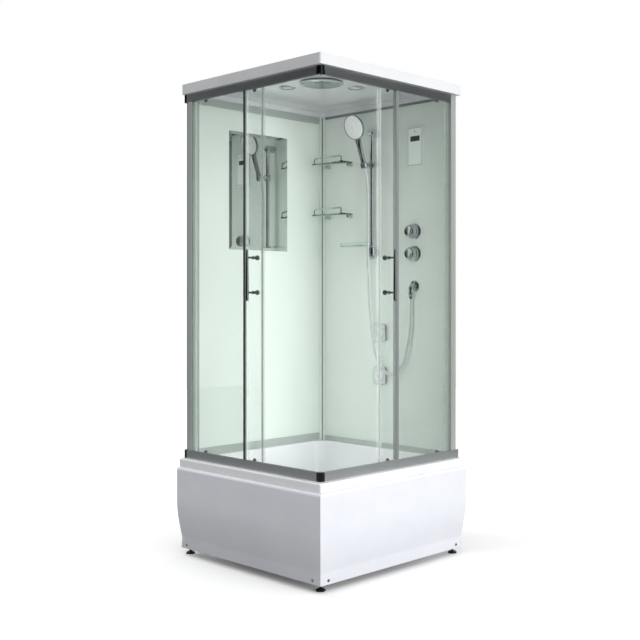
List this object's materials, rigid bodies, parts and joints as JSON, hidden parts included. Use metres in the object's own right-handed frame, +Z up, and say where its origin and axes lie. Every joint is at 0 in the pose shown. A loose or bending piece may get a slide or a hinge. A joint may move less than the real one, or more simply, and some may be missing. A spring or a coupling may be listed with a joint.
{
  "type": "shower cabin",
  "caption": "Square corner-entry shower cabin: deep tub tray with bulged aprons, sliding glass doors on rollers, roofed walls with valve, jets, shelves and hand shower on a slide bar.",
  "frame": {"origin": "on the floor under the middle of the cabin's overall square", "axes": "+Z up; the glazed corner faces +X and -Y: front glazing towards -Y, side glazing towards +X; mirror wall at -X, fittings wall at +Y"},
  "size_m": [0.974, 0.974, 2.15],
  "materials": {
    "acrylic": "gloss sanitary acrylic",
    "apron_acrylic": "gloss vacuum-formed acrylic",
    "galvanised_steel": "grey powder coat",
    "black_plastic": "moulded, satin",
    "grey_plastic": "moulded",
    "rail_aluminium": "satin anodised",
    "gloss_black": "gloss",
    "clear_glass": "clear toughened",
    "mint_panel": "gloss, back-coated",
    "clear_seal": "clear soft vinyl",
    "chrome": "polished",
    "stainless": "brushed",
    "nylon": "moulded nylon",
    "mirror": "silvered glass",
    "white_plastic": "gloss",
    "brass": "cast",
    "copper_pipe": "drawn copper",
    "lamp_cover": "opal",
    "clear_plastic": "clear acrylic",
    "silver_hose": "smooth metallised vinyl"
  },
  "bodies": {
    "cabin": {"base_frame": "galvanised_steel", "levelling_feet": "black_plastic", "tray": "acrylic", "waste_trap": "grey_plastic", "front_apron": "apron_acrylic", "side_apron": "apron_acrylic", "apron_screws": "stainless", "front_bottom_rail": "rail_aluminium", "side_bottom_rail": "rail_aluminium", "front_top_rail": "rail_aluminium", "side_top_rail": "rail_aluminium", "rail_connectors": "gloss_black", "wall_posts": "rail_aluminium", "wall_trims": "rail_aluminium", "left_wall": "mint_panel", "back_wall": "mint_panel", "roof": "acrylic", "rain_head": "chrome", "ceiling_lamps": "lamp_cover", "fixed_glasses": "clear_glass", "fixed_glass_seals": "clear_seal", "wall_mirror": "mirror", "shelf_glasses": "clear_glass", "shelf_rails": "chrome", "slide_bar": "chrome", "bar_mounts": "chrome", "hose": "silver_hose", "elbow_outlet": "chrome", "soap_dish": "clear_plastic", "control_panel": "white_plastic", "valve_body": "brass", "valve_plates": "chrome", "jet_frames": "chrome", "supply_pipes": "copper_pipe"},
    "front_door": {"front_door_glass": "clear_glass", "front_door_seals": "clear_seal", "front_handle": "chrome", "front_carriers": "stainless"},
    "side_door": {"side_door_glass": "clear_glass", "side_door_seals": "clear_seal", "side_handle": "chrome", "side_carriers": "stainless"},
    "bar_slider": {"slider": "chrome"},
    "slider_knob": {"clamp_knob": "chrome"},
    "tilting_cradle": {"cradle": "chrome"},
    "hand_shower": {"handset": "chrome"},
    "spray_face": {"spray_plate": "white_plastic"},
    "mixer_control": {"mixer_knob": "chrome"},
    "diverter_control": {"diverter_knob": "chrome"},
    "upper_jet": {"jet_upper": "white_plastic"},
    "lower_jet": {"jet_lower": "white_plastic"},
    "waste_lid": {"waste_cover": "chrome"},
    "front_roller_top_lead_wheel": {"front_roller_top_lead": "nylon"},
    "front_roller_top_trail_wheel": {"front_roller_top_trail": "nylon"},
    "front_roller_low_lead_wheel": {"front_roller_low_lead": "nylon"},
    "front_roller_low_trail_wheel": {"front_roller_low_trail": "nylon"},
    "side_roller_top_lead_wheel": {"side_roller_top_lead": "nylon"},
    "side_roller_top_trail_wheel": {"side_roller_top_trail": "nylon"},
    "side_roller_low_lead_wheel": {"side_roller_low_lead": "nylon"},
    "side_roller_low_trail_wheel": {"side_roller_low_trail": "nylon"}
  },
  "joints": [
    {"name": "front_door_slide", "type": "slide", "parent": "cabin", "child": "front_door", "axis": [1, 0, 0], "range_m": [0, 0.335]},
    {"name": "side_door_slide", "type": "slide", "parent": "cabin", "child": "side_door", "axis": [0, -1, 0], "range_m": [0, 0.335]},
    {"name": "front_roller_top_lead_roll", "type": "hinge", "parent": "front_door", "child": "front_roller_top_lead_wheel", "pos_m": [0.004, -0.419, 2.084], "axis": [0, 1, 0], "continuous": true},
    {"name": "front_roller_top_trail_roll", "type": "hinge", "parent": "front_door", "child": "front_roller_top_trail_wheel", "pos_m": [-0.329, -0.419, 2.084], "axis": [0, 1, 0], "continuous": true},
    {"name": "front_roller_low_lead_roll", "type": "hinge", "parent": "front_door", "child": "front_roller_low_lead_wheel", "pos_m": [0.004, -0.419, 0.461], "axis": [0, 1, 0], "continuous": true},
    {"name": "front_roller_low_trail_roll", "type": "hinge", "parent": "front_door", "child": "front_roller_low_trail_wheel", "pos_m": [-0.329, -0.419, 0.461], "axis": [0, 1, 0], "continuous": true},
    {"name": "side_roller_top_lead_roll", "type": "hinge", "parent": "side_door", "child": "side_roller_top_lead_wheel", "pos_m": [0.419, -0.004, 2.084], "axis": [1, 0, 0], "continuous": true},
    {"name": "side_roller_top_trail_roll", "type": "hinge", "parent": "side_door", "child": "side_roller_top_trail_wheel", "pos_m": [0.419, 0.329, 2.084], "axis": [1, 0, 0], "continuous": true},
    {"name": "side_roller_low_lead_roll", "type": "hinge", "parent": "side_door", "child": "side_roller_low_lead_wheel", "pos_m": [0.419, -0.004, 0.461], "axis": [1, 0, 0], "continuous": true},
    {"name": "side_roller_low_trail_roll", "type": "hinge", "parent": "side_door", "child": "side_roller_low_trail_wheel", "pos_m": [0.419, 0.329, 0.461], "axis": [1, 0, 0], "continuous": true},
    {"name": "slider_on_bar", "type": "slide", "parent": "cabin", "child": "bar_slider", "axis": [0, 0, 1], "range_m": [-0.33, 0.015], "deforming": ["hose"]},
    {"name": "clamp_knob_turn", "type": "hinge", "parent": "bar_slider", "child": "slider_knob", "pos_m": [-0.042, 0.388, 1.822], "axis": [1, 0, 0], "range_deg": [0, 180]},
    {"name": "cradle_tilt", "type": "hinge", "parent": "bar_slider", "child": "tilting_cradle", "pos_m": [-0.042, 0.361, 1.822], "axis": [1, 0, 0], "range_deg": [-10, 25]},
    {"name": "handset_lift", "type": "slide", "parent": "tilting_cradle", "child": "hand_shower", "axis": [0, -0.342, 0.9397], "range_m": [0, 0.04]},
    {"name": "spray_face_turn", "type": "hinge", "parent": "hand_shower", "child": "spray_face", "pos_m": [-0.042, 0.26644, 1.99514], "axis": [0, -0.9397, -0.342], "range_deg": [-30, 30]},
    {"name": "mixer_turn", "type": "hinge", "parent": "cabin", "child": "mixer_control", "pos_m": [0.19, 0.4, 1.488], "axis": [0, 1, 0], "range_deg": [-90, 90]},
    {"name": "diverter_turn", "type": "hinge", "parent": "cabin", "child": "diverter_control", "pos_m": [0.19, 0.4, 1.382], "axis": [0, 1, 0], "range_deg": [-120, 120]},
    {"name": "upper_jet_tilt", "type": "hinge", "parent": "cabin", "child": "upper_jet", "pos_m": [-0.022, 0.424, 1], "axis": [1, 0, 0], "range_deg": [-12, 12]},
    {"name": "lower_jet_tilt", "type": "hinge", "parent": "cabin", "child": "lower_jet", "pos_m": [-0.022, 0.424, 0.791], "axis": [1, 0, 0], "range_deg": [-12, 12]},
    {"name": "waste_cover_lift", "type": "slide", "parent": "cabin", "child": "waste_lid", "axis": [0, 0, 1], "range_m": [0, 0.05]}
  ],
  "couplings": [
    {"joint": "front_roller_top_lead_roll", "follows": "front_door_slide", "rad_per_m": 100},
    {"joint": "front_roller_top_trail_roll", "follows": "front_door_slide", "rad_per_m": 100},
    {"joint": "front_roller_low_lead_roll", "follows": "front_door_slide", "rad_per_m": 100},
    {"joint": "front_roller_low_trail_roll", "follows": "front_door_slide", "rad_per_m": 100},
    {"joint": "side_roller_top_lead_roll", "follows": "side_door_slide", "rad_per_m": 100},
    {"joint": "side_roller_top_trail_roll", "follows": "side_door_slide", "rad_per_m": 100},
    {"joint": "side_roller_low_lead_roll", "follows": "side_door_slide", "rad_per_m": 100},
    {"joint": "side_roller_low_trail_roll", "follows": "side_door_slide", "rad_per_m": 100}
  ]
}
